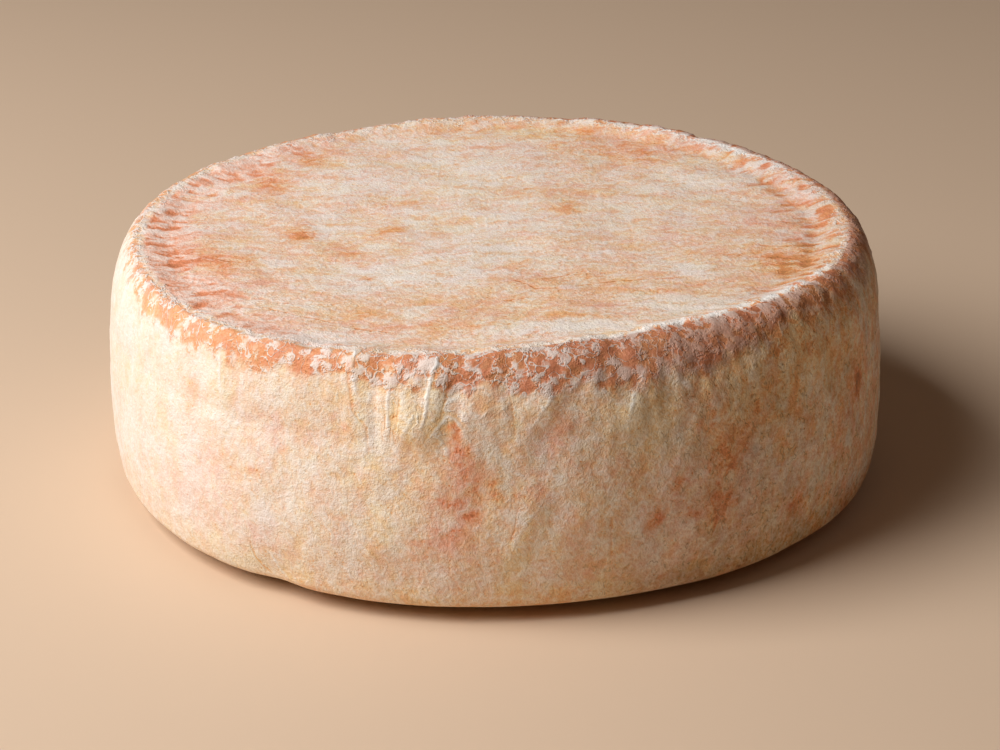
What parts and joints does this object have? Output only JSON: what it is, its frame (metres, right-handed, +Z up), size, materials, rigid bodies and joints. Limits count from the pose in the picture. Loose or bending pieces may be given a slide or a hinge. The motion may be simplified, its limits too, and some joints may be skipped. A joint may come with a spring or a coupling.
{
  "type": "blue cheese wheel",
  "caption": "Whole low round wheel of washed-rind blue cheese with a wavy bloomed rind, a raised crimped rim and a slightly sunken top.",
  "frame": {"origin": "on the wheel's axis, in the plane of its flat base", "axes": "+Z up along the wheel's axis, -Y towards the front shown by the picture, +X to its right"},
  "size_m": [0.1996, 0.2007, 0.066],
  "materials": {
    "rind": "matte"
  },
  "bodies": {
    "root": {"cheese_wheel": "rind"}
  },
  "joints": []
}
